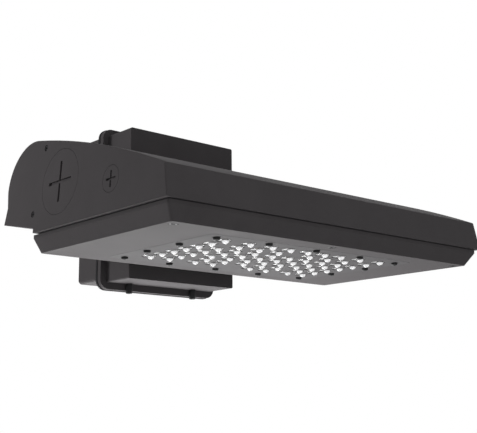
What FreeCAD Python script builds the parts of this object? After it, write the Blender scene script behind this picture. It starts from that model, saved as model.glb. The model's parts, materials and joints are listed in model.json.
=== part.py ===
import FreeCAD, Part
import math
import os
import re
import Sketcher

# Wall-mounted LED luminaire: a cast hood with a hinged lens door, held by a box arm on a wall box.
# The origin is at the middle of the wall box's rear face: +X along the wall, +Y into it, +Z up.
# The luminaire's own sizes count y from the hood's front edge and z from the door's underside.

# Driving dimensions in millimetres, with angles in degrees
SIZES = {
    "door_width": 429.6,
    "door_depth": 227.5,
    "door_slope_side": 9.7,
    "door_slope_front": 8,
    "door_slope_height": 14.4,
    "door_lip": 3.5,
    "door_floor": 6.4,
    "door_corner": 3,
    "parting_gap": 0.8,
    "hood_overhang": 4,
    "hood_overhang_side": 5,
    "hood_wall": 3.5,
    "hood_front_height": 32.2,
    "hood_front_lean": 6,
    "hood_crest_inset": 2.5,
    "hood_crest_height": 102.4,
    "hood_top_radius": 1150,
    "hood_rear_radius": 49,
    "hood_rear_run": 59.3,
    "hood_rear_drop": 47.7,
    "hood_waist_run": 3,
    "hood_waist_height": 36.2,
    "hood_tail_run": 4.3,
    "hood_tail_height": 18.2,
    "hood_skirt_inset": 8.5,
    "hood_skirt_height": 5.2,
    "panel_draft": 4,
    "hood_round": 1.8,
    "rim_width": 12.5,
    "rim_plate": 4,
    "rim_corner": 8,
    "seal_width": 5,
    "seal_inset": 4,
    "seal_groove": 1.5,
    "seal_gap": 0.2,
    "hinge_x": 150,
    "hinge_reach": 7,
    "hinge_height": 11.4,
    "hinge_round": 6,
    "hinge_lug": 24,
    "hinge_ear": 9.5,
    "hinge_gap": 0.5,
    "pin_radius": 3,
    "pin_clearance": 0.05,
    "door_screw_inset_x": 10,
    "door_screw_inset_y": 11,
    "door_screw_radius": 2.5,
    "door_screw_head": 4.5,
    "door_screw_head_height": 3.5,
    "door_screw_reach": 6,
    "door_screw_travel": 7,
    "door_boss": 7,
    "screw_play": 0.3,
    "tapped_play": 0.7,
    "retainer_radius": 4.2,
    "retainer_height": 1,
    "boss_height": 10,
    "optic_spacing": 2.6,
    "optic_lip": 1.4,
    "optic_rise": 4,
    "optic_face": 0.8,
    "hump_share": 0.58,
    "hump_edge": 0.3,
    "optic_flange_height": 0.8,
    "optic_play": 0.15,
    "window_margin": 1.2,
    "window_shift": 5.7,
    "ledge_side": 22,
    "ledge_front": 18.3,
    "plate_margin_side": 67.85,
    "plate_margin_front": 23.45,
    "plate_setback": 1.25,
    "plate_height": 3,
    "plate_proud": 0.1,
    "plate_corner": 6,
    "plate_play": 0.2,
    "lens_seal": 1,
    "lens_screw_radius": 2,
    "lens_screw_head": 3.8,
    "lens_screw_head_height": 2.9,
    "lens_screw_mid_x": 67.5,
    "lens_screw_row": 10.5,
    "lens_screw_corner_x": 7,
    "lens_screw_corner_y": 5.3,
    "lens_screw_side": 13.4,
    "lens_screw_side_y": 27.3,
    "board_height": 1.6,
    "board_margin": 2,
    "board_screw_radius": 1.5,
    "board_screw_head": 2.7,
    "board_screw_head_height": 1,
    "chip_size": 3.5,
    "chip_height": 0.9,
    "sink_base": 4,
    "sink_lap_x": 15,
    "sink_lap_y": 13,
    "fin_height": 14,
    "fin_thickness": 2.2,
    "fin_pitch": 20,
    "sink_screw_radius": 2,
    "sink_screw_inset": 5,
    "connector_length": 30,
    "connector_depth": 12,
    "connector_height": 11,
    "connector_wall": 2,
    "large_plug_inset": 54.5,
    "large_plug_headroom": 20.7,
    "large_plug_rise": 13,
    "large_plug_slot": 43,
    "large_plug_slot_width": 3.4,
    "large_plug_disc": 5,
    "small_plug_y": 91,
    "small_plug_height": 32.5,
    "small_plug_radius": 13.3,
    "small_plug_slot": 16.4,
    "small_plug_slot_width": 2.4,
    "small_plug_disc": 4,
    "plug_gap": 0.35,
    "plug_slot_depth": 2.2,
    "plug_neck_inset": 4,
    "plug_neck_length": 7,
    "plug_seal": 1,
    "plug_boss_wall": 3,
    "plug_boss_depth": 11,
    "thread_play": 0.1,
    "side_screw_upper_inset": 20,
    "side_screw_upper_headroom": 12.2,
    "side_screw_lower_inset": 5,
    "side_screw_lower_height": 20.5,
    "side_screw_radius": 2,
    "side_screw_head": 3.1,
    "side_screw_head_height": 2,
    "side_screw_sink": 0.4,
    "side_boss": 4.5,
    "tray_height": 36,
    "tray_sheet": 1.5,
    "tray_depth": 129,
    "tray_overrun": 7.5,
    "tray_inset": 6,
    "ear_width_upper": 8,
    "ear_width_lower": 22,
    "ear_top_margin": 3,
    "driver_length": 210,
    "driver_depth": 66,
    "driver_height": 32,
    "driver_setback": 16,
    "driver_foot": 14,
    "driver_foot_height": 3,
    "gear_screw_radius": 2,
    "ground_inset": 28,
    "ground_washer_radius": 5.2,
    "gear_gap": 26,
    "surge_length": 44,
    "surge_depth": 38,
    "surge_height": 30,
    "terminal_length": 40,
    "terminal_depth": 26,
    "terminal_height": 36,
    "terminal_screw_radius": 2.2,
    "terminal_pitch": 13,
    "terminal_well": 9,
    "terminal_screw_height": 6,
    "lead_radius": 1.6,
    "lead_pitch": 5,
    "lead_bend": 14,
    "lead_setback": 18,
    "lead_height": 28,
    "arm_width": 159.6,
    "arm_height": 182.7,
    "arm_length": 48,
    "arm_wall": 4,
    "arm_round": 2,
    "arm_seal": 2,
    "arm_seal_margin": 10,
    "arm_bolt_x": 45,
    "arm_bolt_low": 31,
    "arm_bolt_headroom": 25.7,
    "arm_bolt_radius": 4,
    "arm_bolt_length": 16,
    "arm_bolt_head": 6.5,
    "arm_bolt_head_height": 5,
    "arm_boss": 9,
    "arm_boss_depth": 8,
    "wire_hole": 13,
    "bush_wall": 3,
    "bush_flange": 4,
    "bush_flange_height": 2,
    "notch_setback": 29.5,
    "notch_clearance": 2.5,
    "flange_lip_side": 7.9,
    "flange_lip_end": 8.15,
    "flange_plate": 7,
    "flange_corner": 12,
    "box_seal": 2.5,
    "box_seal_width": 7,
    "box_seal_proud": 0.8,
    "box_margin_side": 7.5,
    "box_inset_end": 1.85,
    "box_depth": 40,
    "box_wall": 4,
    "box_corner": 5,
    "box_boss": 7,
    "wall_hole_x": 110,
    "wall_hole_z": 120,
    "wall_hole_radius": 3.5,
    "conduit_radius": 13.3,
    "conduit_plug_depth": 6,
    "conduit_slot": 16,
    "conduit_slot_width": 2.6,
    "mount_height": 80,
    "hanger_sheet": 3,
    "hanger_margin_side": 16.5,
    "hanger_margin_end": 14.5,
    "hanger_hole_width": 66,
    "hanger_hole_height": 56,
    "hanger_screw_inset_x": 12,
    "hanger_screw_inset_z": 40,
    "hanger_screw_radius": 2.5,
    "hanger_screw_length": 13,
    "hook_x": 49,
    "hook_width": 20,
    "hook_reach": 17,
    "hook_rise": 11,
    "hook_drop": 23,
    "bar_depth": 8,
    "bar_height": 7,
    "bar_play": 2,
    "lock_bolt_radius": 2.5,
    "lock_bolt_head": 4,
    "lock_bolt_head_height": 12,
    "lock_bolt_reach": 4.4,
    "lock_tab_inset": 4,
}

# Optic columns of each row from front to rear, on each side of the middle, in column pitches
OPTIC_ROWS = [
    [0, 1, 2, 3.2, 4.5],
    [0.9, 2, 3.1, 4.5],
    [0.5, 1.5, 2.5, 3.5, 4.5],
    [0.5, 1.5, 2.5, 3.5, 4.5],
    [0.5, 1.5, 2.5, 3.5, 4.5],
    [0, 1.1, 2.1, 3.5, 4.5],
    [1.1, 2.1, 3.5, 4.5],
]

# Reach of the optics from the middle, in column and row pitches
COLUMN_REACH = max(max(columns) for columns in OPTIC_ROWS)
ROW_REACH = (len(OPTIC_ROWS) - 1) / 2

# Column of the outer board screws, between two columns of optics
BOARD_SCREW_COLUMN = 4

# Proportions of the screws: head and socket radius for each unit of shank radius
PAN_HEAD = 1.9
SOCKET = 0.9

# Flat and curve of a button head for each unit of its radius
BUTTON_FLAT = 0.6
BUTTON_CURVE = 1.1

# Supply and driver leads, with their order across the set
LEADS = {"line": -1, "neutral": 0, "earth": 1}

# Sizes that follow from the driving ones
DOOR_HEIGHT = "(door_slope_height + door_lip)"
DOOR_FRONT = "(hood_overhang + door_slope_front)"
DOOR_REAR = f"({DOOR_FRONT} + door_depth)"
DOOR_MIDDLE = f"({DOOR_FRONT} + door_depth / 2)"
RIM_HALF = "(door_width / 2 + door_slope_side)"
SKIRT_Y = f"({DOOR_REAR} - hood_skirt_inset)"
OPEN_HALF = f"({RIM_HALF} - rim_width)"
OPEN_FRONT = "(hood_overhang + rim_width)"
OPEN_REAR = f"({SKIRT_Y} - rim_width)"
HOOD_BASE = f"({DOOR_HEIGHT} + parting_gap)"
HOOD_HALF = f"({RIM_HALF} + hood_overhang_side)"
CREST_Y = f"({DOOR_REAR} - hood_crest_inset)"
HOOD_REAR = f"({CREST_Y} + hood_rear_run)"
HOOD_TOP = f"({HOOD_BASE} + hood_crest_height)"
NOTCH_Y = f"({DOOR_REAR} + notch_setback)"
HINGE_Y = f"({DOOR_REAR} + hinge_reach)"
PIN_LENGTH = "(hinge_lug + 2 * hinge_gap + 2 * hinge_ear)"
PLATE_X = "(door_width / 2 - plate_margin_side)"
PLATE_Y = "(door_depth / 2 - plate_margin_front)"
WINDOW_X = f"({PLATE_X} - ledge_side)"
WINDOW_Y = f"({PLATE_Y} - ledge_front)"
PLATE_MIDDLE = f"({DOOR_MIDDLE} + plate_setback)"
WINDOW_MIDDLE = f"({PLATE_MIDDLE} - window_shift)"
PITCH_Y = f"(({WINDOW_Y} - window_margin + optic_spacing / 2) / {ROW_REACH + 0.5})"
OPTIC_FLANGE = f"(({PITCH_Y} - optic_spacing) / 2)"
OPTIC_RADIUS = f"({OPTIC_FLANGE} - optic_lip)"
HUMP_RADIUS = f"({OPTIC_RADIUS} * hump_share)"
PITCH_X = f"(({WINDOW_X} - window_margin - {OPTIC_FLANGE}) / {COLUMN_REACH})"
PLATE_TOP = "(plate_height - plate_proud)"
LEDGE = f"({PLATE_TOP} + lens_seal)"
SINK_TOP = "(door_floor + sink_base)"
TRAY_TOP = "(tray_height + tray_sheet)"
TRAY_HALF = f"({OPEN_HALF} - tray_inset)"
TRAY_REAR = f"({DOOR_REAR} + tray_overrun)"
TRAY_FRONT = f"({TRAY_REAR} - tray_depth)"
DRIVER_Y = f"({TRAY_FRONT} + driver_setback)"
LEAD_Z = f"({TRAY_TOP} + lead_height)"
ARM_X = "(arm_width / 2)"
ARM_Z = "(arm_height / 2)"
FLANGE_X = f"({ARM_X} + flange_lip_side)"
FLANGE_Z = f"({ARM_Z} + flange_lip_end)"
FLANGE_FRONT = "(box_depth + box_seal + flange_plate)"
ARM_FRONT = f"({FLANGE_FRONT} + arm_length)"
BOX_X = f"({ARM_X} + box_margin_side)"
BOX_Z = f"({ARM_Z} - box_inset_end)"
HANGER_X = f"({BOX_X} - hanger_margin_side)"
HANGER_Z = f"({BOX_Z} - hanger_margin_end)"
HANGER_FRONT = "(box_depth + hanger_sheet)"
HOOK_Z = f"({HANGER_Z} - hook_drop)"
LOCK_TAB_Z = f"(lock_tab_inset - {HANGER_Z})"
LOCK_BOLT_Y = f"(-{FLANGE_FRONT} - lock_bolt_reach)"
WALL_REACH = f"({NOTCH_Y} + arm_seal + {ARM_FRONT})"
LUMINAIRE = ("0", f"-{WALL_REACH}", "-mount_height")
WALL = ("0", "0", "0")

PLUG_Y = {"large_plug": f"({DOOR_REAR} - large_plug_inset)", "small_plug": "small_plug_y"}
PLUG_RADIUS = {
    "large_plug": "((hood_crest_height - large_plug_headroom - large_plug_rise) / 2)",
    "small_plug": "small_plug_radius",
}
PLUG_HEIGHT = {
    "large_plug": f"({PLUG_RADIUS['large_plug']} + large_plug_rise)",
    "small_plug": "small_plug_height",
}
SIDES = {"left": -1, "right": 1}
CORNERS = [(side, level) for side in (-1, 1) for level in (-1, 1)]

doc = FreeCAD.newDocument("wall_pack")
sheet = doc.addObject("Spreadsheet::Sheet", "dims")
for row, (alias, size) in enumerate(SIZES.items(), start=1):
    sheet.set(f"A{row}", alias)
    sheet.set(f"B{row}", str(size))
    sheet.setAlias(f"B{row}", alias)
doc.recompute()

nodes = []


def cell(expression):
    # Each size named in an expression becomes a reference to its cell
    def refer(match):
        word = match.group()
        return f"dims.{word}" if word in SIZES else word

    return re.sub(r"[a-z][a-z0-9_]*", refer, str(expression))


def value(expression):
    number = sheet.evalExpression(str(expression))
    return float(getattr(number, "Value", number))


def tie(item, prop, expression):
    item.setExpression(prop, cell(expression))


def put(item, place):
    for axis, expression in zip("xyz", place):
        tie(item, f"Placement.Base.{axis}", expression)
    return item


def node(item, label, frame=LUMINAIRE):
    item.Label = label
    put(item, frame)
    nodes.append(item)
    return item


def box(name, low, high):
    item = doc.addObject("Part::Box", name)
    for prop, start, end in zip(("Length", "Width", "Height"), low, high):
        tie(item, prop, f"({end}) - ({start})")
    return put(item, low)


# Turns that carry a primitive's own Z axis onto each axis of the frame
TURNS = {
    "Z": FreeCAD.Rotation(),
    "X": FreeCAD.Rotation(FreeCAD.Vector(0, 1, 0), 90),
    "-Y": FreeCAD.Rotation(FreeCAD.Vector(1, 0, 0), 90),
}


def cylinder(name, radius, height, base, axis="Z"):
    item = doc.addObject("Part::Cylinder", name)
    item.Placement.Rotation = TURNS[axis]
    tie(item, "Radius", radius)
    tie(item, "Height", height)
    return put(item, base)


def fuse(name, items):
    if len(items) == 1:
        return items[0]
    item = doc.addObject("Part::MultiFuse", name)
    item.Shapes = items
    return item


def cut(name, base, tools):
    item = doc.addObject("Part::Cut", name)
    item.Base = base
    item.Tool = fuse(f"{name}_tool", tools)
    return item


def new_body(name):
    return doc.addObject("PartDesign::Body", name)


def arc_between(start, end, radius):
    # A minor arc that runs anticlockwise from start to end
    chord = end - start
    middle = (start + end) * 0.5
    left = FreeCAD.Vector(-chord.y, chord.x, 0).normalize()
    centre = middle + left * math.sqrt(radius ** 2 - (chord.Length / 2) ** 2)
    return Part.Arc(start, centre - left * radius, end)


def draw(sketch, corners, arcs):
    # A closed outline, anticlockwise, with each corner held from the sketch's origin
    spots = [FreeCAD.Vector(value(x), value(y), 0) for x, y in corners]
    count = len(spots)
    first = sketch.GeometryCount
    for i, start in enumerate(spots):
        end = spots[(i + 1) % count]
        edge = arc_between(start, end, value(arcs[i])) if i in arcs else Part.LineSegment(start, end)
        sketch.addGeometry(edge, False)
    for i, spot in enumerate(spots):
        following = first + (i + 1) % count
        sketch.addConstraint(Sketcher.Constraint("Coincident", first + i, 2, following, 1))
        held = [("DistanceX", corners[i][0], spot.x), ("DistanceY", corners[i][1], spot.y)]
        for kind, expression, number in held:
            index = sketch.addConstraint(Sketcher.Constraint(kind, -1, 1, first + i, 1, number))
            tie(sketch, f"Constraints[{index}]", expression)
        if i in arcs:
            index = sketch.addConstraint(Sketcher.Constraint("Radius", first + i, value(arcs[i])))
            tie(sketch, f"Constraints[{index}]", arcs[i])


def new_sketch(body, plane, name, height="0"):
    sketch = body.newObject("Sketcher::SketchObject", name)
    support = next(item for item in body.Origin.OriginFeatures if item.Role == plane)
    sketch.AttachmentSupport = [(support, "")]
    sketch.MapMode = "FlatFace"
    tie(sketch, "AttachmentOffset.Base.z", height)
    return sketch


def rounded(low, high, radius):
    # Corners and arcs of a rectangle with rounded corners
    (x0, y0), (x1, y1) = low, high
    radius = f"({radius})"
    corners = [
        (f"{x0} + {radius}", y0), (f"{x1} - {radius}", y0),
        (x1, f"{y0} + {radius}"), (x1, f"{y1} - {radius}"),
        (f"{x1} - {radius}", y1), (f"{x0} + {radius}", y1),
        (x0, f"{y1} - {radius}"), (x0, f"{y0} + {radius}"),
    ]
    return corners, {1: radius, 3: radius, 5: radius, 7: radius}


def pad(body, sketch, length, symmetric=False):
    feature = body.newObject("PartDesign::Pad", f"{body.Name}_pad")
    feature.Profile = sketch
    feature.SideType = "Symmetric" if symmetric else "One side"
    tie(feature, "Length", length)
    sketch.Visibility = False
    return feature


def slab(name, plane, low, high, radius, length, height="0", hole=None):
    # A plate with rounded corners, and with a rounded opening where a hole is given
    body = new_body(name)
    sketch = new_sketch(body, plane, f"{name}_outline", height)
    draw(sketch, *rounded(low, high, radius))
    if hole:
        draw(sketch, *rounded(*hole))
    pad(body, sketch, length)
    return body


def copies(name, master, spots):
    # One solid for each spot, all alike
    doc.recompute()
    item = doc.addObject("Part::Feature", name)
    shapes = [master.Shape.translated(FreeCAD.Vector(*spot)) for spot in spots]
    item.Shape = Part.makeCompound(shapes)
    return item


def nearest_edges(feature, spots):
    names = []
    for spot in spots:
        probe = Part.Vertex(*spot)
        gaps = [edge.distToShape(probe)[0] for edge in feature.Shape.Edges]
        names.append(f"Edge{gaps.index(min(gaps)) + 1}")
    return sorted(set(names))


def turned(name, corners, arcs=None):
    # A body of revolution about its own Z axis
    body = new_body(name)
    profile = new_sketch(body, "XZ_Plane", f"{name}_profile")
    draw(profile, corners, arcs or {})
    turn = body.newObject("PartDesign::Revolution", f"{name}_turn")
    turn.Profile = profile
    turn.ReferenceAxis = (profile, ["V_Axis"])
    turn.Angle = 360
    return body


def button_screw(name, radius, length, head, head_height):
    # A screw with its seat at z=0: shank above the seat, domed head with a socket below
    crown = f"({head}) * {BUTTON_FLAT}"
    sweep = f"({head}) * {BUTTON_CURVE}"
    corners = [
        ("0", f"-({head_height})"), (crown, f"-({head_height})"), (head, "0"),
        (radius, "0"), (radius, length), ("0", length),
    ]
    body = turned(name, corners, {1: sweep})
    drive = new_sketch(body, "XY_Plane", f"{name}_drive", f"-({head_height})")
    opening = f"({radius}) * {SOCKET}"
    drive.addGeometry(Part.Circle(FreeCAD.Vector(), FreeCAD.Vector(0, 0, 1), value(opening)), False)
    drive.addConstraint(Sketcher.Constraint("Coincident", 0, 3, -1, 1))
    index = drive.addConstraint(Sketcher.Constraint("Radius", 0, value(opening)))
    tie(drive, f"Constraints[{index}]", opening)
    socket = body.newObject("PartDesign::Pocket", f"{name}_socket")
    socket.Profile = drive
    socket.Reversed = True
    tie(socket, "Length", f"({head_height}) / 2")
    return body


def pan_screw(name, radius, length):
    # A screw with its seat at z=0: shank below the seat, plain head above
    head = f"{radius} * {PAN_HEAD}"
    tip = f"-({length})"
    corners = [("0", tip), (radius, tip), (radius, "0"), (head, "0"), (head, radius), ("0", radius)]
    return turned(name, corners)


# Hood: side outline, padded across the width and sliced to the lean of the end panels
def hood_outline(wall):
    base = f"({HOOD_BASE} + rim_plate)" if wall else HOOD_BASE
    inset = "hood_wall" if wall else "0"
    low = f"({HOOD_BASE} + {inset})"
    corners = [
        (inset, base),
        (f"{SKIRT_Y} - {inset}", base),
        (f"{SKIRT_Y} - {inset}", f"{low} + hood_skirt_height"),
        (f"{HOOD_REAR} - hood_waist_run + hood_tail_run - {inset}", f"{low} + hood_tail_height"),
        (f"{HOOD_REAR} - hood_waist_run - {inset}", f"{HOOD_BASE} + hood_waist_height"),
        (f"{HOOD_REAR} - {inset}", f"{HOOD_TOP} - hood_rear_drop"),
        (CREST_Y, f"{HOOD_TOP} - {inset}"),
        (f"hood_front_lean + {inset}", f"{HOOD_BASE} + hood_front_height - {inset}"),
    ]
    arcs = {5: f"hood_rear_radius - {inset}", 6: f"hood_top_radius - {inset}"}
    return corners, arcs


def hood_solid(name, wall):
    body = new_body(name)
    profile = new_sketch(body, "YZ_Plane", f"{name}_profile")
    corners, arcs = hood_outline(wall)
    draw(profile, corners, arcs)
    inset = "hood_wall" if wall else "0"
    half = f"({HOOD_HALF} - {inset})"
    pad(body, profile, f"2 * {half}", symmetric=True)
    ends = new_sketch(body, "XZ_Plane", f"{name}_ends")
    lean = f"({half} - (hood_crest_height + hood_wall) * tan(panel_draft))"
    top = f"({HOOD_TOP} + hood_wall)"
    beyond = f"({half} + hood_wall)"
    right = [(half, HOOD_BASE), (beyond, HOOD_BASE), (beyond, top), (lean, top)]
    left = [(f"-{x}", z) for x, z in reversed(right)]
    draw(ends, right, {})
    draw(ends, left, {})
    slice_ends = body.newObject("PartDesign::Pocket", f"{name}_slice")
    slice_ends.Profile = ends
    slice_ends.SideType = "Symmetric"
    tie(slice_ends, "Length", f"4 * {HOOD_REAR}")
    return body, slice_ends


def panel_x(height):
    # Distance of the end panel's outer face from the middle, at a height above the hood's base
    return f"({HOOD_HALF} - ({height}) * tan(panel_draft))"


def round_hood(body, feature):
    # Softens the end panels' outer edges and the front band's top edge
    doc.recompute()
    corners, arcs = hood_outline(False)
    spots = [(value(y), value(z)) for y, z in corners]
    targets = [(0, spots[7][0], spots[7][1])]
    for i in (3, 4, 5, 6, 7):
        start = FreeCAD.Vector(*spots[i], 0)
        end = FreeCAD.Vector(*spots[(i + 1) % len(spots)], 0)
        edge = arc_between(start, end, value(arcs[i])) if i in arcs else Part.LineSegment(start, end)
        middle = edge.value((edge.FirstParameter + edge.LastParameter) / 2)
        x = value(panel_x(f"{middle.y} - {HOOD_BASE}"))
        targets += [(x, middle.x, middle.y), (-x, middle.x, middle.y)]
    fillet = body.newObject("PartDesign::Fillet", f"{body.Name}_round")
    fillet.Base = (feature, nearest_edges(feature, targets))
    tie(fillet, "Radius", "hood_round")


def on_panel(item, side, y, height, depth):
    # Sets a piece on an end panel: its own +Z points out of the panel, z=0 lies at a depth below it
    item.Placement.Rotation = FreeCAD.Rotation(FreeCAD.Vector(0, 1, 0), 90)
    tie(item, "Placement.Rotation.Angle", f"{side} * (90 - panel_draft)")
    x = f"{side} * ({panel_x(height)} - ({depth}) * cos(panel_draft))"
    z = f"{HOOD_BASE} + {height} - ({depth}) * sin(panel_draft)"
    return put(item, (x, y, z))


def side_screw_spots():
    heights = {"upper": "(hood_crest_height - side_screw_upper_headroom)", "lower": "side_screw_lower_height"}
    for level, height in heights.items():
        yield level, f"({DOOR_REAR} - side_screw_{level}_inset)", height


def door_screw_spots():
    x = "(door_width / 2 - door_screw_inset_x)"
    y = f"({DOOR_FRONT} + door_screw_inset_y)"
    return {"left": (f"-{x}", y), "center": ("0", y), "right": (x, y)}


def arm_bolt_spots():
    levels = ("arm_bolt_low", "(hood_crest_height - arm_bolt_headroom)")
    return [(side, height) for side in (-1, 1) for height in levels]


def make_housing():
    outer, outer_slice = hood_solid("hood_outer", False)
    round_hood(outer, outer_slice)
    inner, _ = hood_solid("hood_inner", True)
    beyond = f"2 * {HOOD_REAR}"
    half = "(arm_width / 2 + notch_clearance)"
    above = f"2 * {HOOD_TOP}"
    notch = box("notch", (f"-{half}", NOTCH_Y, "0"), (half, beyond, above))
    walled = f"({half} + hood_wall)"
    keep = box("notch_keep", (f"-{walled}", f"{NOTCH_Y} - hood_wall", "0"), (walled, beyond, above))
    hollow = cut("hood_hollow", inner, [keep])
    opening = slab("hood_opening", "XY_Plane", (f"-{OPEN_HALF}", OPEN_FRONT), (OPEN_HALF, OPEN_REAR),
                   "rim_corner", "2 * rim_plate", f"{HOOD_BASE} - rim_plate / 2")
    shell = cut("hood_shell", outer, [hollow, notch, opening])
    added = [shell]
    holes = []
    for place, (x, y) in door_screw_spots().items():
        added.append(cylinder(f"boss_{place}", "door_boss", "boss_height", (x, y, HOOD_BASE)))
        holes.append(cylinder(f"tapping_{place}", "door_screw_radius + tapped_play",
                              "door_screw_reach + rim_plate / 2", (x, y, HOOD_BASE)))
    # A tie from the middle boss to the front rim
    x, y = door_screw_spots()["center"]
    added.append(box("boss_web", ("-door_boss", f"{OPEN_FRONT} - rim_plate", HOOD_BASE),
                     ("door_boss", y, f"{HOOD_BASE} + rim_plate")))
    for side_name, side in SIDES.items():
        for plug, y in PLUG_Y.items():
            height = PLUG_HEIGHT[plug]
            radius = PLUG_RADIUS[plug]
            boss = cylinder(f"{plug}_boss_{side_name}", f"{radius} + plug_boss_wall",
                            "plug_boss_depth - hood_wall / 2", WALL)
            added.append(on_panel(boss, side, y, height, "plug_boss_depth"))
            seat = cylinder(f"{plug}_seat_{side_name}", f"{radius} + plug_gap",
                            f"{plug}_disc + plug_seal + hood_wall", WALL)
            holes.append(on_panel(seat, side, y, height, f"{plug}_disc + plug_seal"))
            bore = cylinder(f"{plug}_bore_{side_name}", f"{radius} - plug_neck_inset + thread_play",
                            "2 * plug_boss_depth", WALL)
            holes.append(on_panel(bore, side, y, height, "1.5 * plug_boss_depth"))
        for level, y, height in side_screw_spots():
            reach = f"({panel_x(height)} - {TRAY_HALF} - hood_wall / 2)"
            start = TRAY_HALF if side > 0 else f"-{TRAY_HALF} - {reach}"
            base = (start, y, f"{HOOD_BASE} + {height}")
            added.append(cylinder(f"side_boss_{level}_{side_name}", "side_boss", reach, base, "X"))
            through = f"({panel_x(height)} - {TRAY_HALF} + 2 * hood_wall)"
            start = f"{TRAY_HALF} - hood_wall" if side > 0 else f"-{TRAY_HALF} - {through} + hood_wall"
            base = (start, y, f"{HOOD_BASE} + {height}")
            holes.append(cylinder(f"side_hole_{level}_{side_name}", "side_screw_radius + screw_play",
                                  through, base, "X"))
            seat_x = f"({panel_x(height)} - side_screw_head_height)"
            start = seat_x if side > 0 else f"-{seat_x} - 2 * hood_wall"
            base = (start, y, f"{HOOD_BASE} + {height}")
            holes.append(cylinder(f"side_seat_{level}_{side_name}", "side_screw_head + screw_play",
                                  "2 * hood_wall", base, "X"))
        for edge_name, edge in (("inner", -1), ("outer", 1)):
            near = "(hinge_lug / 2 + hinge_gap)"
            low = f"({side} * hinge_x + {edge} * ({near} + hinge_ear / 2) - hinge_ear / 2)"
            name = f"ear_{side_name}_{edge_name}"
            added.append(cylinder(f"{name}_round", "hinge_round", "hinge_ear",
                                  (low, HINGE_Y, "hinge_height"), "X"))
            slope = f"((hood_tail_height - hood_skirt_height) / ({HOOD_REAR} - {SKIRT_Y}))"
            underside = f"({HOOD_BASE} + hood_skirt_height + {slope} * ({HINGE_Y} - {SKIRT_Y}))"
            top = f"{underside} + hood_wall / 2"
            added.append(box(f"{name}_web", (low, f"{HINGE_Y} - hinge_round", "hinge_height"),
                             (f"{low} + hinge_ear", f"{HINGE_Y} + hinge_round", top)))
        holes.append(cylinder(f"ear_bore_{side_name}", "pin_radius", f"2 * {PIN_LENGTH}",
                              (f"{side} * hinge_x - {PIN_LENGTH}", HINGE_Y, "hinge_height"), "X"))
    for i, (side, height) in enumerate(arm_bolt_spots()):
        base = (f"{side} * arm_bolt_x", f"{NOTCH_Y} + hood_wall", f"{HOOD_BASE} + {height}")
        holes.append(cylinder(f"arm_bolt_hole_{i}", "arm_bolt_radius + screw_play", "3 * hood_wall",
                              base, "-Y"))
    holes.append(cylinder("wire_way", "wire_hole", "3 * hood_wall",
                          ("0", f"{NOTCH_Y} + hood_wall", LEAD_Z), "-Y"))
    node(cut("hood", fuse("hood_cast", added), holes), "housing")


# Plugs: a flush disc with a crossed slot and a threaded neck, and a flat seal under the disc
def make_plugs():
    for plug, radius in PLUG_RADIUS.items():
        neck_radius = f"({radius} - plug_neck_inset)"
        for side_name, side in SIDES.items():
            name = f"{plug}_{side_name}"
            disc = cylinder(f"{name}_disc", radius, f"{plug}_disc", ("0", "0", "plug_seal"))
            neck = cylinder(f"{name}_neck", neck_radius, "plug_neck_length + plug_seal",
                            ("0", "0", "-plug_neck_length"))
            half = f"{plug}_slot / 2"
            thin = f"{plug}_slot_width / 2"
            floor = f"{plug}_disc + plug_seal - plug_slot_depth"
            above = f"{plug}_disc + 2 * plug_seal"
            tall = box(f"{name}_slot_tall", (f"-{half}", f"-{thin}", floor), (half, thin, above))
            flat = box(f"{name}_slot_flat", (f"-{thin}", f"-{half}", floor), (thin, half, above))
            made = cut(f"{name}_made", fuse(f"{name}_turned", [disc, neck]), [tall, flat])
            seat_plug(made, name, plug, side)
            ring = cylinder(f"{name}_ring", radius, "plug_seal", WALL)
            inner = cylinder(f"{name}_ring_bore", f"{neck_radius} + thread_play", "3 * plug_seal",
                             ("0", "0", "-plug_seal"))
            seat_plug(cut(f"{name}_seal_made", ring, [inner]), f"{plug}_seal_{side_name}", plug, side)


def seat_plug(item, label, plug, side):
    item.Label = label
    depth = f"({plug}_disc + plug_seal)"
    height = PLUG_HEIGHT[plug]
    on_panel(item, side, f"{PLUG_Y[plug]} - {WALL_REACH}", height, depth)
    tie(item, "Placement.Base.z", f"{HOOD_BASE} + {height} - {depth} * sin(panel_draft) - mount_height")
    nodes.append(item)


def centred(half_x, half_y, middle):
    # Corners and radius of a rounded rectangle
    low = (f"-{half_x}", f"{middle} - {half_y}")
    high = (half_x, f"{middle} + {half_y}")
    return low, high, "plate_corner"


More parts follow.
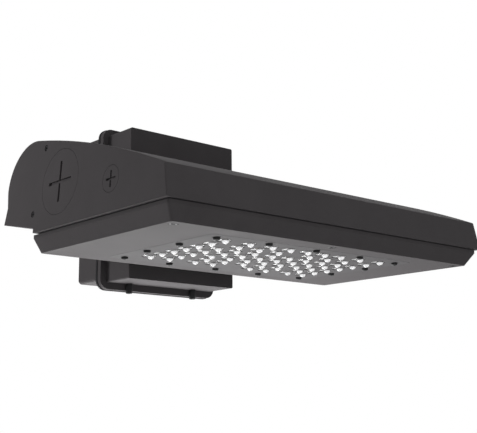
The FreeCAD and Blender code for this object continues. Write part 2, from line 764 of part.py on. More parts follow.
# Door: sloped pan with a lens window, a gasket groove, screw bosses and hinge lugs
def make_door():
    body = new_body("door")
    half = "(door_width / 2)"
    lower = new_sketch(body, "XY_Plane", "door_underside")
    draw(lower, *rounded((f"-{half}", DOOR_FRONT), (half, DOOR_REAR), "door_corner"))
    upper = new_sketch(body, "XY_Plane", "door_edge", "door_slope_height")
    edge = ((f"-{RIM_HALF}", "hood_overhang"), (RIM_HALF, DOOR_REAR), "door_corner")
    draw(upper, *rounded(*edge))
    loft = body.newObject("PartDesign::AdditiveLoft", "door_slope")
    loft.Profile = lower
    loft.Sections = [upper]
    loft.Ruled = True
    lip = new_sketch(body, "XY_Plane", "door_lip_outline", "door_slope_height")
    draw(lip, *rounded(*edge))
    pad(body, lip, "door_lip")
    pocket(body, "door_inside", rounded((f"-{OPEN_HALF}", OPEN_FRONT), (OPEN_HALF, OPEN_REAR), "rim_corner"),
           DOOR_HEIGHT, f"{DOOR_HEIGHT} - door_floor")
    pocket(body, "door_window", rounded(*centred(WINDOW_X, WINDOW_Y, WINDOW_MIDDLE)),
           "2 * door_floor", "3 * door_floor")
    recess = centred(f"({PLATE_X} + plate_play)", f"({PLATE_Y} + plate_play)", PLATE_MIDDLE)
    pocket(body, "door_recess", rounded(*recess), LEDGE, f"2 * {LEDGE}")
    groove = new_sketch(body, "XY_Plane", "seal_groove_outline", DOOR_HEIGHT)
    for inset in ("0", "seal_width"):
        draw(groove, *rounded(*seal_outline(inset)))
    channel = body.newObject("PartDesign::Pocket", "seal_channel")
    channel.Profile = groove
    tie(channel, "Length", "seal_groove")
    added = [body]
    holes = []
    for place, (x, y) in door_screw_spots().items():
        added.append(cylinder(f"door_post_{place}", "door_boss", f"{DOOR_HEIGHT} - door_floor / 2",
                              (x, y, "door_floor / 2")))
        holes.append(cylinder(f"door_hole_{place}", "door_screw_radius + screw_play", f"2 * {DOOR_HEIGHT}",
                              (x, y, f"-{DOOR_HEIGHT} / 2")))
        holes.append(cylinder(f"door_sink_{place}", "door_screw_head + screw_play",
                              "2 * door_screw_head_height", (x, y, "-door_screw_head_height")))
        holes.append(cylinder(f"retainer_well_{place}", "retainer_radius + screw_play", DOOR_HEIGHT,
                              (x, y, f"{DOOR_HEIGHT} - retainer_height - door_screw_travel - screw_play")))
    for side_name, side in SIDES.items():
        low = f"({side} * hinge_x - hinge_lug / 2)"
        added.append(cylinder(f"lug_{side_name}_round", "hinge_round", "hinge_lug",
                              (low, HINGE_Y, "hinge_height"), "X"))
        added.append(box(f"lug_{side_name}_web",
                         (low, f"{DOOR_REAR} - hinge_reach / 2", "hinge_height - hinge_round"),
                         (f"{low} + hinge_lug", HINGE_Y, "hinge_height + hinge_round")))
        holes.append(cylinder(f"lug_bore_{side_name}", "pin_radius + pin_clearance", "2 * hinge_lug",
                              (f"{side} * hinge_x - hinge_lug", HINGE_Y, "hinge_height"), "X"))
    for i, (x, y) in enumerate(lens_screw_spots()):
        holes.append(cylinder(f"lens_tapping_{i}", "lens_screw_radius", "2 * door_floor", (x, y, "0")))
    for i, (x, y) in enumerate(sink_screw_spots()):
        holes.append(cylinder(f"sink_tapping_{i}", "sink_screw_radius", "2 * door_floor", (x, y, LEDGE)))
    node(cut("door_cut", fuse("door_cast", added), holes), "door_frame")


def pocket(body, name, shape, top, depth):
    sketch = new_sketch(body, "XY_Plane", f"{name}_outline", top)
    draw(sketch, *shape)
    feature = body.newObject("PartDesign::Pocket", name)
    feature.Profile = sketch
    tie(feature, "Length", depth)
    return feature


def seal_outline(inset):
    x = f"({RIM_HALF} - seal_inset - {inset})"
    front = f"(hood_overhang + seal_inset + {inset})"
    rear = f"({SKIRT_Y} - seal_inset - {inset})"
    return (f"-{x}", front), (x, rear), f"(rim_corner + seal_width - {inset})"


def make_door_gasket():
    low, high, radius = seal_outline("0")
    gasket = slab("door_seal", "XY_Plane", low, high, radius, "seal_groove + parting_gap - seal_gap",
                  f"{DOOR_HEIGHT} - seal_groove", hole=seal_outline("seal_width"))
    node(gasket, "door_gasket")


def make_door_screws():
    for place, (x, y) in door_screw_spots().items():
        length = f"({HOOD_BASE} + door_screw_reach - door_screw_head_height)"
        head = cylinder(f"door_screw_head_{place}", "door_screw_head", "door_screw_head_height", (x, y, "0"))
        shank = cylinder(f"door_screw_shank_{place}", "door_screw_radius", length,
                         (x, y, "door_screw_head_height"))
        ring = cylinder(f"retainer_{place}", "retainer_radius", "retainer_height",
                        (x, y, f"{DOOR_HEIGHT} - retainer_height"))
        slot = cylinder(f"door_screw_socket_{place}", f"door_screw_radius * {SOCKET}",
                        "door_screw_head_height", (x, y, "-door_screw_head_height / 2"))
        node(cut(f"door_screw_{place}_cut", fuse(f"door_screw_{place}_turned", [head, shank]), [slot]),
             f"door_screw_{place}")
        bore = cylinder(f"retainer_bore_{place}", "door_screw_radius", "3 * retainer_height",
                        (x, y, f"{DOOR_HEIGHT} - 2 * retainer_height"))
        node(cut(f"retainer_{place}_cut", ring, [bore]), f"screw_retainer_{place}")


def make_hinge_pins():
    for side_name, side in SIDES.items():
        start = f"{side} * hinge_x - {PIN_LENGTH} / 2"
        pin = cylinder(f"pin_{side_name}", "pin_radius", PIN_LENGTH,
                       (start, f"{HINGE_Y} - {WALL_REACH}", "hinge_height - mount_height"), "X")
        pin.Label = f"hinge_pin_{side_name}"
        nodes.append(pin)


# Light engine in the door: plate, optics, seal, board, chips and heat sink
def lens_screw_spots():
    rows = [(0, "lens_screw_row", "0"), (1, "lens_screw_row", "lens_screw_mid_x"),
            (1, "lens_screw_corner_y", f"{WINDOW_X} + lens_screw_corner_x")]
    spots = []
    for paired, reach, x in rows:
        for front in (-1, 1):
            y = f"{PLATE_MIDDLE} + {front} * ({WINDOW_Y} + {reach})"
            spots += [(f"{side} * ({x})", y) for side in ((-1, 1) if paired else (1,))]
    for side in (-1, 1):
        for front in (-1, 1):
            x = f"{side} * ({WINDOW_X} + lens_screw_side)"
            spots.append((x, f"{PLATE_MIDDLE} + {front} * lens_screw_side_y"))
    return spots


def sink_screw_spots():
    x = f"({WINDOW_X} + sink_screw_inset)"
    y = f"({WINDOW_Y} + sink_screw_inset)"
    spots = [(f"{side} * {x}", WINDOW_MIDDLE) for side in (-1, 1)]
    for side in (-1, 1):
        spots += [(f"{side} * lens_screw_mid_x / 2", f"{WINDOW_MIDDLE} + {front} * {y}") for front in (-1, 1)]
    return spots


def optic_spots():
    spots = []
    for row, columns in enumerate(OPTIC_ROWS):
        y = value(f"{WINDOW_MIDDLE} + {row - ROW_REACH} * {PITCH_Y}")
        for column in columns:
            for side in ((-1, 1) if column else (1,)):
                spots.append((side * column * value(PITCH_X), y, 0))
    return spots


def numbers(spots, z="0"):
    return [(value(x), value(y), value(z)) for x, y in spots]


def make_optics():
    # Each optic is a flanged lens set into the plate, with a domed hump on its front half
    flange_top = f"{PLATE_TOP} + optic_flange_height"
    face = "(optic_face - plate_proud)"
    lens = turned("optic_lens", [
        ("0", face), (OPTIC_RADIUS, face), (OPTIC_RADIUS, PLATE_TOP),
        (OPTIC_FLANGE, PLATE_TOP), (OPTIC_FLANGE, flange_top), ("0", flange_top),
    ])
    tip = "-(plate_proud + optic_rise)"
    dome = f"({HUMP_RADIUS} ^ 2 + optic_rise ^ 2) / (2 * optic_rise)"
    sides = [("0", tip), (HUMP_RADIUS, "-plate_proud"), (HUMP_RADIUS, PLATE_TOP), ("0", PLATE_TOP)]
    hump = turned("optic_hump", sides, {0: dome})
    put(hump, ("0", f"{HUMP_RADIUS} + hump_edge - {OPTIC_RADIUS}", "0"))
    node(copies("optic_set", fuse("optic", [lens, hump]), optic_spots()), "optics")


def make_light_engine():
    plate = slab("plate_blank", "XY_Plane", *centred(PLATE_X, PLATE_Y, PLATE_MIDDLE),
                 "plate_height", "-plate_proud")
    below = ("0", "0", "-2 * plate_height")
    optic_hole = cylinder("optic_hole", f"{OPTIC_RADIUS} + optic_play", "4 * plate_height", below)
    optic_holes = copies("optic_holes", optic_hole, optic_spots())
    screw_hole = cylinder("lens_screw_hole", "lens_screw_radius + screw_play", "4 * plate_height", below)
    screw_holes = copies("lens_screw_holes", screw_hole, numbers(lens_screw_spots()))
    node(cut("plate_drilled", plate, [optic_holes, screw_holes]), "lens_plate")

    make_optics()
    seal = slab("lens_seal_blank", "XY_Plane", *centred(PLATE_X, PLATE_Y, PLATE_MIDDLE),
                "lens_seal", PLATE_TOP, hole=centred(WINDOW_X, WINDOW_Y, WINDOW_MIDDLE))
    seal_holes = copies("seal_holes", screw_hole, numbers(lens_screw_spots()))
    node(cut("lens_seal_cut", seal, [seal_holes]), "lens_gasket")

    screw = button_screw("lens_screw", "lens_screw_radius", "door_floor + plate_proud",
                         "lens_screw_head", "lens_screw_head_height")
    node(copies("lens_screw_set", screw, numbers(lens_screw_spots(), "-plate_proud")), "lens_screws")
    make_board()
    make_heat_sink()


def board_screw_spots():
    x = f"{BOARD_SCREW_COLUMN} * {PITCH_X}"
    y = f"{PITCH_Y} / 2"
    return [(f"{side} * {x}", f"{WINDOW_MIDDLE} + {front} * {y}") for side in (-1, 0, 1) for front in (-1, 1)]


def make_board():
    underside = "(door_floor - board_height)"
    outline = centred(f"({WINDOW_X} - board_margin)", f"({WINDOW_Y} - board_margin)", WINDOW_MIDDLE)
    board = slab("board", "XY_Plane", *outline, "board_height", underside)
    hole = cylinder("board_hole", "board_screw_radius", "3 * board_height",
                    ("0", "0", f"{underside} - board_height"))
    holes = copies("board_holes", hole, numbers(board_screw_spots()))
    node(cut("board_drilled", board, [holes]), "led_board")
    half = "chip_size / 2"
    chip = box("chip", (f"-{half}", f"-{half}", f"{underside} - chip_height"), (half, half, underside))
    node(copies("chip_set", chip, optic_spots()), "led_chips")
    screw = button_screw("board_screw", "board_screw_radius", "board_height + sink_base / 2",
                         "board_screw_head", "board_screw_head_height")
    node(copies("board_screw_set", screw, numbers(board_screw_spots(), underside)), "board_screws")


def make_heat_sink():
    x = f"({WINDOW_X} + sink_lap_x)"
    y = f"({WINDOW_Y} + sink_lap_y)"
    base = box("sink_plate", (f"-{x}", f"{WINDOW_MIDDLE} - {y}", "door_floor"),
               (x, f"{WINDOW_MIDDLE} + {y}", SINK_TOP))
    fin_rear = f"{WINDOW_MIDDLE} + {WINDOW_Y} - 2 * connector_depth"
    count = int(value(WINDOW_X) // value("fin_pitch"))
    fins = []
    for i in range(-count, count + 1):
        middle = f"{i} * fin_pitch"
        fins.append(box(f"fin_{i + count}",
                        (f"{middle} - fin_thickness / 2", f"{WINDOW_MIDDLE} - {WINDOW_Y}", SINK_TOP),
                        (f"{middle} + fin_thickness / 2", fin_rear, f"{SINK_TOP} + fin_height")))
    holes = []
    for i, (x, y) in enumerate(sink_screw_spots()):
        holes.append(cylinder(f"sink_hole_{i}", "sink_screw_radius + screw_play", "3 * sink_base",
                              (x, y, "door_floor - sink_base")))
    for i, (x, y) in enumerate(board_screw_spots()):
        holes.append(cylinder(f"board_tapping_{i}", "board_screw_radius", "sink_base / 2",
                              (x, y, "door_floor")))
    node(cut("sink_drilled", fuse("sink_cast", [base] + fins), holes), "heat_sink")
    screw = pan_screw("sink_screw", "sink_screw_radius", f"{SINK_TOP} - {LEDGE}")
    node(copies("sink_screw_set", screw, numbers(sink_screw_spots(), SINK_TOP)), "heat_sink_screws")

    half = "connector_length / 2"
    rear = f"{WINDOW_MIDDLE} + {WINDOW_Y}"
    top = f"{SINK_TOP} + connector_height"
    block = box("connector_block", (f"-{half}", f"{rear} - connector_depth", SINK_TOP), (half, rear, top))
    inside = f"{half} - connector_wall"
    socket = box("connector_socket",
                 (f"-({inside})", f"{rear} - connector_depth / 2", f"{SINK_TOP} + connector_wall"),
                 (inside, f"{rear} + connector_depth", f"{top} - connector_wall"))
    node(cut("connector_made", block, [socket]), "led_connector")


# Electrical gear on a sheet tray that hangs from the hood's side bosses
def make_gear():
    parts = [box("tray_base", (f"-{TRAY_HALF}", TRAY_FRONT, "tray_height"), (TRAY_HALF, TRAY_REAR, TRAY_TOP))]
    holes = []
    for side_name, side in SIDES.items():
        low = f"({TRAY_HALF} - tray_sheet)" if side > 0 else f"-{TRAY_HALF}"
        for level, y, height in side_screw_spots():
            half = f"ear_width_{level} / 2"
            z = f"{HOOD_BASE} + {height}"
            parts.append(box(f"tray_ear_{level}_{side_name}", (low, f"{y} - {half}", "tray_height"),
                             (f"{low} + tray_sheet", f"{y} + {half}", f"{z} + ear_top_margin")))
            holes.append(cylinder(f"tray_hole_{level}_{side_name}", "side_screw_radius", "3 * tray_sheet",
                                  (f"{low} - tray_sheet", y, z), "X"))
    for i, (x, y) in enumerate(driver_screw_spots() + [ground_spot()]):
        holes.append(cylinder(f"tray_tapping_{i}", "gear_screw_radius", "3 * tray_sheet",
                              (x, y, "tray_height - tray_sheet")))
    node(cut("tray_drilled", fuse("tray_folded", parts), holes), "gear_tray")
    make_driver()
    make_ground_screw()
    near = "(driver_length / 2 + gear_gap)"
    surge_end = (f"{near} + surge_length", f"{DRIVER_Y} + surge_depth")
    surge = slab("surge_block", "XY_Plane", (near, DRIVER_Y), surge_end,
                 "plate_corner", "surge_height", TRAY_TOP)
    node(surge, "surge_protector")
    make_terminals(near)
    make_leads(near)


def driver_screw_spots():
    x = "(driver_length / 2 + driver_foot / 2)"
    front = f"{DRIVER_Y} + driver_foot / 2"
    rear = f"{DRIVER_Y} + driver_depth - driver_foot / 2"
    return [(f"{side} * {x}", y) for side in (-1, 1) for y in (front, rear)]


def ground_spot():
    return f"-({TRAY_HALF} - ground_inset)", f"{TRAY_REAR} - ground_inset"


def make_driver():
    half = "(driver_length / 2)"
    rear = f"{DRIVER_Y} + driver_depth"
    can = box("driver_can", (f"-{half}", DRIVER_Y, TRAY_TOP), (half, rear, f"{TRAY_TOP} + driver_height"))
    foot = f"({half} + driver_foot)"
    feet = box("driver_feet", (f"-{foot}", DRIVER_Y, TRAY_TOP),
               (foot, rear, f"{TRAY_TOP} + driver_foot_height"))
    holes = []
    for i, (x, y) in enumerate(driver_screw_spots()):
        holes.append(cylinder(f"driver_hole_{i}", "gear_screw_radius + screw_play", "3 * driver_foot_height",
                              (x, y, f"{TRAY_TOP} - driver_foot_height")))
    node(cut("driver_drilled", fuse("driver_case", [can, feet]), holes), "driver")
    screw = pan_screw("gear_screw", "gear_screw_radius", "driver_foot_height + tray_sheet")
    seats = numbers(driver_screw_spots(), f"{TRAY_TOP} + driver_foot_height")
    node(copies("driver_screw_set", screw, seats), "driver_screws")


def make_ground_screw():
    x, y = ground_spot()
    washer = cylinder("ground_washer", "ground_washer_radius", "driver_foot_height", (x, y, TRAY_TOP))
    head = cylinder("ground_head", f"gear_screw_radius * {PAN_HEAD}", "gear_screw_radius",
                    (x, y, f"{TRAY_TOP} + driver_foot_height"))
    shank = cylinder("ground_shank", "gear_screw_radius", "tray_sheet", (x, y, "tray_height"))
    node(fuse("ground_turned", [washer, head, shank]), "ground_screw")


def make_terminals(near):
    top = f"{TRAY_TOP} + terminal_height"
    block = box("terminal_body", (f"-({near} + terminal_length)", DRIVER_Y, TRAY_TOP),
                (f"-{near}", f"{DRIVER_Y} + terminal_depth", top))
    wells = []
    heads = []
    for i in (-1, 0, 1):
        x = f"-{near} - terminal_length / 2 + {i} * terminal_pitch"
        y = f"{DRIVER_Y} + terminal_depth / 2"
        floor = f"{top} - terminal_well"
        wells.append(cylinder(f"terminal_well_{i + 1}", "terminal_screw_radius + screw_play",
                              "2 * terminal_well", (x, y, floor)))
        heads.append(cylinder(f"terminal_head_{i + 1}", "terminal_screw_radius", "terminal_screw_height",
                              (x, y, floor)))
    node(cut("terminal_drilled", block, wells), "terminal_block")
    node(fuse("terminal_head_set", heads), "terminal_screws")


def make_leads(near):
    # Supply leads run from the wall through the arm and along the hood's rear into the terminal block,
    # and short leads join the block to the driver
    terminal_x = value(f"-({near} + terminal_length / 2)")
    z = value(LEAD_Z)
    for lead, order in LEADS.items():
        shift = order * value("lead_pitch")
        rear_y = value(f"{NOTCH_Y} - lead_setback") - shift
        turn_x = terminal_x + shift
        spots = [(shift, value(WALL_REACH)), (shift, rear_y), (turn_x, rear_y),
                 (turn_x, value(f"{DRIVER_Y} + terminal_depth"))]
        path = rounded_path([FreeCAD.Vector(x, y, z) for x, y in spots], value("lead_bend"))
        start = FreeCAD.Vector(*spots[0], z)
        section = Part.Wire(Part.makeCircle(value("lead_radius"), start, FreeCAD.Vector(0, 1, 0)))
        supply = doc.addObject("Part::Feature", f"supply_{lead}")
        supply.Shape = path.makePipeShell([section], True, False)
        node(supply, f"supply_lead_{lead}")
        y = f"{DRIVER_Y} + terminal_depth / 2 + {order} * lead_pitch - {WALL_REACH}"
        height = f"{TRAY_TOP} + driver_height / 2 - mount_height"
        link = cylinder(f"driver_{lead}", "lead_radius", "gear_gap", (f"-{near}", y, height), "X")
        link.Label = f"driver_lead_{lead}"
        nodes.append(link)


def rounded_path(spots, bend):
    # Straight runs joined by tangent quarter arcs
    edges = []
    start = spots[0]
    for before, corner, after in zip(spots, spots[1:], spots[2:]):
        inward = (before - corner).normalize()
        outward = (after - corner).normalize()
        entry = corner + inward * bend
        leave = corner + outward * bend
        centre = corner + (inward + outward) * bend
        middle = centre + (corner - centre).normalize() * bend
        edges.append(Part.LineSegment(start, entry).toShape())
        edges.append(Part.Arc(entry, middle, leave).toShape())
        start = leave
    edges.append(Part.LineSegment(start, spots[-1]).toShape())
    return Part.Wire(edges)


def make_side_screws():
    radius = value("side_screw_radius")
    head_height = value("side_screw_head_height - side_screw_sink")
    screws = []
    for side in SIDES.values():
        outward = FreeCAD.Vector(side, 0, 0)
        for level, y, height in side_screw_spots():
            z = value(f"{HOOD_BASE} + {height}")
            seat = FreeCAD.Vector(side * value(f"{panel_x(height)} - side_screw_head_height"), value(y), z)
            tip = FreeCAD.Vector(side * value(f"{TRAY_HALF} - tray_sheet"), value(y), z)
            shank = Part.makeCylinder(radius, (seat - tip).Length, tip, outward)
            head = Part.makeCylinder(value("side_screw_head"), head_height, seat, outward)
            socket_floor = seat + outward * head_height / 2
            socket = Part.makeCylinder(radius * SOCKET, head_height, socket_floor, outward)
            screws.append(shank.fuse(head).cut(socket).removeSplitter())
    item = doc.addObject("Part::Feature", "side_screw_set")
    item.Shape = Part.makeCompound(screws)
    node(item, "side_screws")


# Wall side: back box, hanger plate, gaskets, arm and its fasteners
def make_back_box():
    outer = slab("box_outer", "XZ_Plane", (f"-{BOX_X}", f"-{BOX_Z}"), (BOX_X, BOX_Z),
                 "box_corner", "box_depth")
    inside_x = f"({BOX_X} - box_wall)"
    inside_z = f"({BOX_Z} - box_wall)"
    inner = slab("box_inner", "XZ_Plane", (f"-{inside_x}", f"-{inside_z}"), (inside_x, inside_z),
                 "box_corner - box_wall", "box_depth", "box_wall")
    posts = []
    holes = []
    for i, (x, z) in enumerate(hanger_screw_spots()):
        posts.append(cylinder(f"box_post_{i}", "box_boss", "box_depth - box_wall / 2",
                              (x, "-box_wall / 2", z), "-Y"))
        holes.append(cylinder(f"hanger_tapping_{i}", "hanger_screw_radius", "box_depth / 2",
                              (x, "-box_depth / 2", z), "-Y"))
    for i, (side, level) in enumerate(CORNERS):
        base = (f"{side} * wall_hole_x / 2", "2 * box_wall", f"{level} * wall_hole_z / 2")
        holes.append(cylinder(f"wall_hole_{i}", "wall_hole_radius", "4 * box_wall", base, "-Y"))
    holes.append(cylinder("box_wire_hole", "wire_hole", "4 * box_wall",
                          ("0", "2 * box_wall", f"{LEAD_Z} - mount_height"), "-Y"))
    for side_name, side in SIDES.items():
        start = f"{BOX_X} - 2 * box_wall" if side > 0 else f"-{BOX_X} - box_wall"
        holes.append(cylinder(f"conduit_hole_{side_name}", "conduit_radius", "3 * box_wall",
                              (start, "-box_depth / 2", "0"), "X"))
    shell = cut("box_shell", outer, [inner])
    node(cut("box_drilled", fuse("box_cast", [shell] + posts), holes), "back_box", WALL)
    make_conduit_plugs()

    hole_x = f"({BOX_X} - box_seal_width)"
    hole_z = f"({BOX_Z} - box_seal_width)"
    edge_x = f"({FLANGE_X} + box_seal_proud)"
    edge_z = f"({FLANGE_Z} + box_seal_proud)"
    gasket = slab("box_gasket_ring", "XZ_Plane", (f"-{edge_x}", f"-{edge_z}"), (edge_x, edge_z),
                  "flange_corner + box_seal_proud", "box_seal", "box_depth",
                  hole=((f"-{hole_x}", f"-{hole_z}"), (hole_x, hole_z), "box_corner - box_wall"))
    node(gasket, "box_gasket", WALL)


def hanger_screw_spots():
    x = f"({HANGER_X} - hanger_screw_inset_x)"
    z = f"({HANGER_Z} - hanger_screw_inset_z)"
    return [(f"{side} * {x}", f"{level} * {z}") for side, level in CORNERS]


def make_conduit_plugs():
    middle = "-box_depth / 2"
    discs = []
    slots = []
    for side_name, side in SIDES.items():
        start = f"{BOX_X} - conduit_plug_depth" if side > 0 else f"-{BOX_X}"
        discs.append(cylinder(f"conduit_plug_{side_name}", "conduit_radius", "conduit_plug_depth",
                              (start, middle, "0"), "X"))
        face = f"{side} * {BOX_X}"
        long = "conduit_slot / 2"
        thin = "conduit_slot_width / 2"
        for name, half_y, half_z in (("tall", thin, long), ("flat", long, thin)):
            slots.append(box(f"conduit_slot_{side_name}_{name}",
                             (f"{face} - plug_slot_depth", f"{middle} - {half_y}", f"-{half_z}"),
                             (f"{face} + plug_slot_depth", f"{middle} + {half_y}", half_z)))
    node(cut("conduit_plug_set", fuse("conduit_discs", discs), slots), "conduit_plugs", WALL)


def make_hanger():
    wide = "hanger_hole_width / 2"
    high = "hanger_hole_height / 2"
    hole = ((f"-{wide}", f"-{high}"), (wide, high), "box_corner")
    plate = slab("hanger_blank", "XZ_Plane", (f"-{HANGER_X}", f"-{HANGER_Z}"), (HANGER_X, HANGER_Z),
                 "box_corner", "hanger_sheet", "box_depth", hole)
    parts = [plate]
    holes = []
    tip = f"-{HANGER_FRONT} - hook_reach"
    root = f"-{HANGER_FRONT} + hanger_sheet / 2"
    for side_name, side in SIDES.items():
        low = f"({side} * hook_x - hook_width / 2)"
        end = f"({low} + hook_width)"
        parts.append(box(f"hook_{side_name}", (low, tip, f"{HOOK_Z} - hanger_sheet"), (end, root, HOOK_Z)))
        parts.append(box(f"hook_lip_{side_name}", (low, tip, f"{HOOK_Z} - hanger_sheet"),
                         (end, f"{tip} + hanger_sheet", f"{HOOK_Z} + hook_rise")))
        parts.append(box(f"lock_tab_{side_name}", (low, tip, f"{LOCK_TAB_Z} - hanger_sheet"),
                         (end, root, LOCK_TAB_Z)))
        holes.append(cylinder(f"lock_tapping_{side_name}", "lock_bolt_radius", "3 * hanger_sheet",
                              (f"{side} * hook_x", LOCK_BOLT_Y, f"{LOCK_TAB_Z} - 2 * hanger_sheet")))
    screws = []
    for i, (x, z) in enumerate(hanger_screw_spots()):
        holes.append(cylinder(f"hanger_hole_{i}", "hanger_screw_radius + screw_play", "4 * hanger_sheet",
                              (x, "-box_depth + hanger_sheet", z), "-Y"))
        shank = cylinder(f"hanger_shank_{i}", "hanger_screw_radius", "hanger_screw_length + hanger_sheet",
                         (x, "hanger_screw_length - box_depth", z), "-Y")
        head = cylinder(f"hanger_head_{i}", f"hanger_screw_radius * {PAN_HEAD}", "hanger_screw_radius",
                        (x, f"-{HANGER_FRONT}", z), "-Y")
        screws += [shank, head]
    node(cut("hanger_drilled", fuse("hanger_folded", parts), holes), "hanger_plate", WALL)
    node(fuse("hanger_screw_set", screws), "hanger_screws", WALL)


def make_arm():
    flange = slab("arm_flange", "XZ_Plane", (f"-{FLANGE_X}", f"-{FLANGE_Z}"), (FLANGE_X, FLANGE_Z),
                  "flange_corner", "flange_plate", "box_depth + box_seal")
    block = slab("arm_block", "XZ_Plane", (f"-{ARM_X}", f"-{ARM_Z}"), (ARM_X, ARM_Z), "arm_round",
                 "arm_length + flange_plate / 2", f"{FLANGE_FRONT} - flange_plate / 2")
    inside_x = f"({ARM_X} - arm_wall)"
    inside_z = f"({ARM_Z} - arm_wall)"
    inside = slab("arm_inside", "XZ_Plane", (f"-{inside_x}", f"-{inside_z}"), (inside_x, inside_z),
                  "arm_round", f"{ARM_FRONT} - arm_wall - box_depth", "box_depth")
    bar_front = f"(-{HANGER_FRONT} - hook_reach + hanger_sheet + bar_play)"
    bar_end = f"({inside_x} + arm_wall / 2)"
    bar = box("hang_bar", (f"-{bar_end}", bar_front, HOOK_Z),
              (bar_end, f"{bar_front} + bar_depth", f"{HOOK_Z} + bar_height"))
    bosses = []
    holes = []
    boss_end = f"arm_wall + arm_boss_depth - {ARM_FRONT}"
    for i, (side, height) in enumerate(arm_bolt_spots()):
        base = (f"{side} * arm_bolt_x", boss_end, f"{HOOD_BASE} + {height} - mount_height")
        bosses.append(cylinder(f"arm_boss_{i}", "arm_boss", "arm_boss_depth + arm_wall / 2", base, "-Y"))
        holes.append(cylinder(f"arm_tapping_{i}", "arm_bolt_radius", "2 * arm_boss_depth + arm_wall",
                              base, "-Y"))
    holes.append(cylinder("arm_wire_hole", "wire_hole", "3 * arm_wall",
                          ("0", f"2 * arm_wall - {ARM_FRONT}", f"{LEAD_Z} - mount_height"), "-Y"))
    bolts = []
    sockets = []
    for side_name, side in SIDES.items():
        x = f"{side} * hook_x"
        seat = f"-{ARM_Z}"
        tip = f"{seat} - lock_bolt_head_height"
        holes.append(cylinder(f"lock_hole_{side_name}", "lock_bolt_radius + screw_play", "3 * arm_wall",
                              (x, LOCK_BOLT_Y, f"{seat} - arm_wall")))
        bolts.append(cylinder(f"lock_shank_{side_name}", "lock_bolt_radius", f"{LOCK_TAB_Z} + {ARM_Z}",
                              (x, LOCK_BOLT_Y, seat)))
        bolts.append(cylinder(f"lock_head_{side_name}", "lock_bolt_head", "lock_bolt_head_height",
                              (x, LOCK_BOLT_Y, tip)))
        socket_floor = f"{tip} - lock_bolt_head_height / 2"
        sockets.append(cylinder(f"lock_socket_{side_name}", f"lock_bolt_radius * {SOCKET}",
                                "lock_bolt_head_height", (x, LOCK_BOLT_Y, socket_floor)))
    shell = cut("arm_shell", fuse("arm_solid", [flange, block]), [inside])
    node(cut("arm_drilled", fuse("arm_cast", [shell, bar] + bosses), holes), "mount_arm", WALL)
    node(cut("lock_bolt_set", fuse("lock_turned", bolts), sockets), "lock_bolts", WALL)


def make_arm_joint():
    # Gasket, bolts and wire bush between the hood's notch wall and the arm's front face
    heights = [height for _, height in arm_bolt_spots()]
    low = f"{HOOD_BASE} + {heights[0]} - arm_seal_margin"
    high = f"{HOOD_BASE} + {heights[1]} + arm_seal_margin"
    half = "(arm_bolt_x + arm_seal_margin)"
    sheet_body = slab("arm_seal_sheet", "XZ_Plane", (f"-{half}", low), (half, high),
                      "plate_corner", "arm_seal", f"-{NOTCH_Y} - arm_seal")
    beyond = f"{NOTCH_Y} + 3 * arm_seal"
    seat = f"{NOTCH_Y} - hood_wall"
    holes = [cylinder("arm_seal_wire_hole", "wire_hole", "5 * arm_seal", ("0", beyond, LEAD_Z), "-Y")]
    bolts = []
    sockets = []
    for i, (side, height) in enumerate(arm_bolt_spots()):
        x = f"{side} * arm_bolt_x"
        z = f"{HOOD_BASE} + {height}"
        holes.append(cylinder(f"arm_seal_hole_{i}", "arm_bolt_radius + screw_play", "5 * arm_seal",
                              (x, beyond, z), "-Y"))
        bolts.append(cylinder(f"arm_shank_{i}", "arm_bolt_radius", "arm_bolt_length",
                              (x, f"{seat} + arm_bolt_length", z), "-Y"))
        bolts.append(cylinder(f"arm_head_{i}", "arm_bolt_head", "arm_bolt_head_height", (x, seat, z), "-Y"))
        sockets.append(cylinder(f"arm_socket_{i}", f"arm_bolt_radius * {SOCKET}", "arm_bolt_head_height",
                                (x, f"{seat} - arm_bolt_head_height / 2", z), "-Y"))
    node(cut("arm_seal_cut", sheet_body, holes), "arm_gasket")
    node(cut("arm_bolt_set", fuse("arm_bolts_turned", bolts), sockets), "arm_bolts")
    length = "(hood_wall + arm_seal + arm_wall)"
    sleeve = cylinder("bush_sleeve", "wire_hole", length, ("0", f"{seat} + {length}", LEAD_Z), "-Y")
    collar = cylinder("bush_collar", "wire_hole + bush_flange", "bush_flange_height",
                      ("0", seat, LEAD_Z), "-Y")
    way = cylinder("bush_way", "wire_hole - bush_wall", f"3 * {length}",
                   ("0", f"{NOTCH_Y} + {length}", LEAD_Z), "-Y")
    node(cut("bush_made", fuse("bush_turned", [sleeve, collar]), [way]), "wire_bush")


make_housing()
make_plugs()
make_door()
make_door_gasket()
make_door_screws()
make_hinge_pins()
make_light_engine()
make_gear()
make_side_screws()
make_back_box()
make_hanger()
make_arm()
make_arm_joint()
doc.recompute()

faults = [item.Name for item in doc.Objects if "Invalid" in item.State or "Error" in item.State]
for item in nodes:
    if item.Shape.isNull() or not item.Shape.isValid() or not item.Shape.Solids:
        faults.append(item.Label)
if faults:
    raise RuntimeError(f"objects that failed: {faults}")

os.makedirs("parts", exist_ok=True)
for item in nodes:
    item.Shape.exportStep(os.path.join("parts", f"{item.Label}.step"))
    print(f"{item.Label}: {len(item.Shape.Solids)} solids, {item.Shape.Volume / 1000:.2f} cm3")
